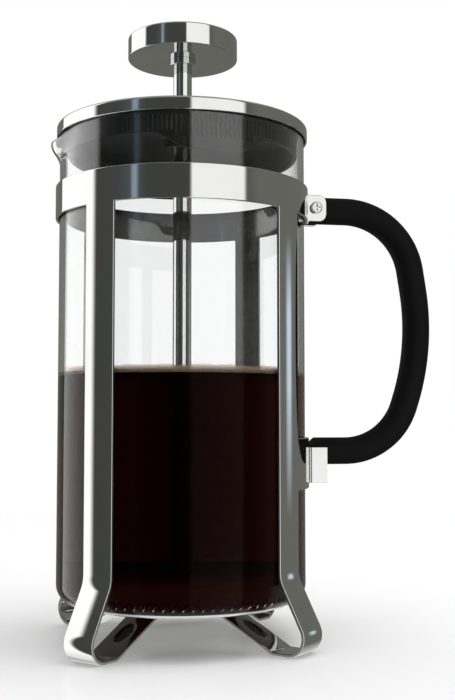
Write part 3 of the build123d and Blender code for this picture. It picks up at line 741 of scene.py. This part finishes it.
# ---------------------------------------------------------------- CAD nodes that keep their own shape
CAD_LOOKS = {
    "base_plate": STEEL, "base_rivets": FASTENER, "clamp_screw": FASTENER, "clamp_nut": FASTENER,
    "handle": HANDLE, "lid_liner": LINER, "spring_plate": FILTER, "filter_mesh": FILTER,
    "cross_plate": FILTER, "hub_nut": FASTENER,
}
for node_name, look in CAD_LOOKS.items():
    for material_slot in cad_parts[node_name].material_slots:
        material_slot.material = look


# ---------------------------------------------------------------- stage, light and camera
VIEW_AZIMUTH = -10.4      # degrees the camera looks to the right of +Y
CAMERA_PLACE = (-59.2 * MM, -422.6 * MM, 85.2 * MM)
CAMERA_TILT = 3.67
LENS = 55.4

# Studio walls as seen by glossy surfaces: degrees round from the camera's side, and brightness
WALLS = [
    (-180.0, (0.19, 0.19, 0.17)), (-135.0, (0.19, 0.19, 0.17)), (-134.0, (1.62, 1.62, 1.62)),
    (-84.0, (1.66, 1.66, 1.66)), (-79.5, (0.080, 0.080, 0.075)), (-56.0, (0.080, 0.088, 0.086)),
    (-44.0, (0.11, 0.12, 0.125)), (-41.5, (0.36, 0.45, 0.55)), (-38.5, (0.36, 0.45, 0.55)),
    (-36.0, (0.10, 0.11, 0.12)), (-28.0, (0.075, 0.080, 0.075)), (9.5, (0.080, 0.080, 0.072)),
    (10.5, (1.40, 1.40, 1.39)), (58.0, (1.40, 1.40, 1.39)), (61.0, (0.15, 0.15, 0.135)),
    (75.0, (0.21, 0.21, 0.185)), (180.0, (0.19, 0.19, 0.17)),
]
# The same walls with a lit slit far round to the right, seen only near eye level
SLIT_WALLS = WALLS[:-2] + [
    (75.0, (0.13, 0.13, 0.12)), (88.0, (0.21, 0.22, 0.20)), (107.0, (0.20, 0.21, 0.20)),
    (110.5, (0.80, 0.95, 1.10)), (114.0, (0.90, 1.05, 1.20)), (118.0, (0.21, 0.21, 0.21)),
    (130.0, (0.19, 0.19, 0.175)), (180.0, (0.17, 0.17, 0.155)),
]


def wall_ramp(tree, place, walls):
    """A colour ramp round the studio from (degrees, tone) stops."""
    ramp = tree.nodes.new("ShaderNodeValToRGB")
    stops = ramp.color_ramp.elements
    for index, (degrees, tone) in enumerate(walls):
        position = (degrees + 180) / 360
        stop = stops[index] if index < 2 else stops.new(position)
        stop.position = position
        stop.color = (*tone, 1)
    tree.links.new(place, ramp.inputs["Fac"])
    return ramp.outputs["Color"]


def make_world():
    """White behind the object, soft light for plain surfaces, and tall panels for glossy ones."""
    world = bpy.data.worlds.new("studio")
    bpy.context.scene.world = world
    world.use_nodes = True
    tree = world.node_tree
    tree.nodes.clear()
    direction = tree.nodes.new("ShaderNodeTexCoord").outputs["Generated"]
    turned = tree.nodes.new("ShaderNodeVectorRotate")
    turned.rotation_type = "Z_AXIS"
    turned.inputs["Angle"].default_value = math.radians(90 - VIEW_AZIMUTH)
    tree.links.new(direction, turned.inputs["Vector"])
    axes = tree.nodes.new("ShaderNodeSeparateXYZ")
    tree.links.new(turned.outputs["Vector"], axes.inputs["Vector"])
    azimuth = compare(tree, "ARCTAN2", axes.outputs["Y"], axes.outputs["X"])
    place = mapped(tree, azimuth, 0, 1, (-math.pi, math.pi))
    above = mapped(tree, axes.outputs["Z"], 0, 1, (0.10, 0.17))
    below = mapped(tree, axes.outputs["Z"], 0, 1, (0.03, -0.09))
    away = compare(tree, "MAXIMUM", above, below)
    walls = blend_colours(tree, away, wall_ramp(tree, place, SLIT_WALLS), wall_ramp(tree, place, WALLS))
    overhead = mapped(tree, axes.outputs["Z"], 0, 1, (0.62, 0.8))
    studio = blend_colours(tree, overhead, walls, (0.42, 0.42, 0.41))
    path = tree.nodes.new("ShaderNodeLightPath")
    backdrop = mapped(tree, axes.outputs["X"], 0, 1, (-0.85, -0.895))
    seen = blend_colours(tree, backdrop, studio, (1.0, 1.0, 1.0))
    shiny = compare(tree, "GREATER_THAN", path.outputs["Glossy Depth"], 0.5)
    looked = blend_colours(tree, shiny, seen, studio)
    lighting = blend_colours(tree, path.outputs["Is Diffuse Ray"], looked, (1.0, 1.0, 1.0))
    final = blend_colours(tree, path.outputs["Is Camera Ray"], lighting, (1.0, 1.0, 1.0))
    background = tree.nodes.new("ShaderNodeBackground")
    tree.links.new(final, background.inputs["Color"])
    output = tree.nodes.new("ShaderNodeOutputWorld")
    tree.links.new(background.outputs["Background"], output.inputs["Surface"])


def make_floor():
    """A pale table top that fades to white away from the object."""
    mesh = bpy.data.meshes.new("floor")
    size = 6.0
    mesh.from_pydata([(-size, -size, 0), (size, -size, 0), (size, size, 0), (-size, size, 0)], [], [(0, 1, 2, 3)])
    floor = bpy.data.objects.new("floor", mesh)
    bpy.context.scene.collection.objects.link(floor)
    floor.location.z = -0.02 * MM
    material, tree, shader = new_material("floor")
    tree.nodes.remove(shader)
    coordinates = tree.nodes.new("ShaderNodeTexCoord").outputs["Object"]
    length = tree.nodes.new("ShaderNodeVectorMath")
    length.operation = "LENGTH"
    tree.links.new(coordinates, length.inputs[0])
    far = mapped(tree, length.outputs["Value"], 0, 1, (0.12, 0.75))
    diffuse = tree.nodes.new("ShaderNodeBsdfDiffuse")
    diffuse.inputs["Color"].default_value = (0.93, 0.93, 0.93, 1)
    sheen = tree.nodes.new("ShaderNodeBsdfGlossy")
    sheen.inputs["Roughness"].default_value = 0.12
    sheen.inputs["Color"].default_value = (1, 1, 1, 1)
    near = tree.nodes.new("ShaderNodeMixShader")
    near.inputs["Fac"].default_value = 0.06
    tree.links.new(diffuse.outputs[0], near.inputs[1])
    tree.links.new(sheen.outputs[0], near.inputs[2])
    white = tree.nodes.new("ShaderNodeEmission")
    fade = tree.nodes.new("ShaderNodeMixShader")
    tree.links.new(far, fade.inputs["Fac"])
    tree.links.new(near.outputs[0], fade.inputs[1])
    tree.links.new(white.outputs[0], fade.inputs[2])
    path = tree.nodes.new("ShaderNodeLightPath")
    nearby = tree.nodes.new("ShaderNodeEmission")
    nearby.inputs["Color"].default_value = (0.9, 0.9, 0.9, 1)
    beyond = tree.nodes.new("ShaderNodeBsdfTransparent")
    mirrored = tree.nodes.new("ShaderNodeMixShader")
    tree.links.new(mapped(tree, length.outputs["Value"], 0, 1, (0.054, 0.064)), mirrored.inputs["Fac"])
    tree.links.new(nearby.outputs[0], mirrored.inputs[1])
    tree.links.new(beyond.outputs[0], mirrored.inputs[2])
    choice = tree.nodes.new("ShaderNodeMixShader")
    shiny = tree.nodes.new("ShaderNodeMath")
    shiny.operation = "GREATER_THAN"
    shiny.inputs[1].default_value = 0.5
    tree.links.new(path.outputs["Glossy Depth"], shiny.inputs[0])
    tree.links.new(shiny.outputs[0], choice.inputs["Fac"])
    tree.links.new(fade.outputs[0], choice.inputs[1])
    tree.links.new(mirrored.outputs[0], choice.inputs[2])
    tree.links.new(choice.outputs[0], tree.nodes["Material Output"].inputs["Surface"])
    mesh.materials.append(material)


def make_light():
    """One wide soft light from above, which draws the faint shadow on the table."""
    light = bpy.data.lights.new("softbox", "AREA")
    light.shape = "RECTANGLE"
    light.size, light.size_y = 0.7, 0.5
    light.energy = 2.2
    lamp = bpy.data.objects.new("softbox", light)
    lamp.location = (0.35, -0.12, 0.95)
    lamp.rotation_euler = (math.radians(7), math.radians(20), 0)
    lamp.visible_glossy = False
    lamp.visible_transmission = False
    lamp.visible_camera = False
    bpy.context.scene.collection.objects.link(lamp)


def make_camera():
    camera_data = bpy.data.cameras.new("camera")
    camera_data.lens = LENS
    camera_data.clip_start = 0.01
    camera = bpy.data.objects.new("camera", camera_data)
    camera.location = CAMERA_PLACE
    camera.rotation_euler = (math.radians(90 + CAMERA_TILT), 0, math.radians(VIEW_AZIMUTH))
    bpy.context.scene.collection.objects.link(camera)
    bpy.context.scene.camera = camera


make_world()
make_floor()
make_light()
make_camera()
bpy.context.scene.view_settings.view_transform = "Standard"
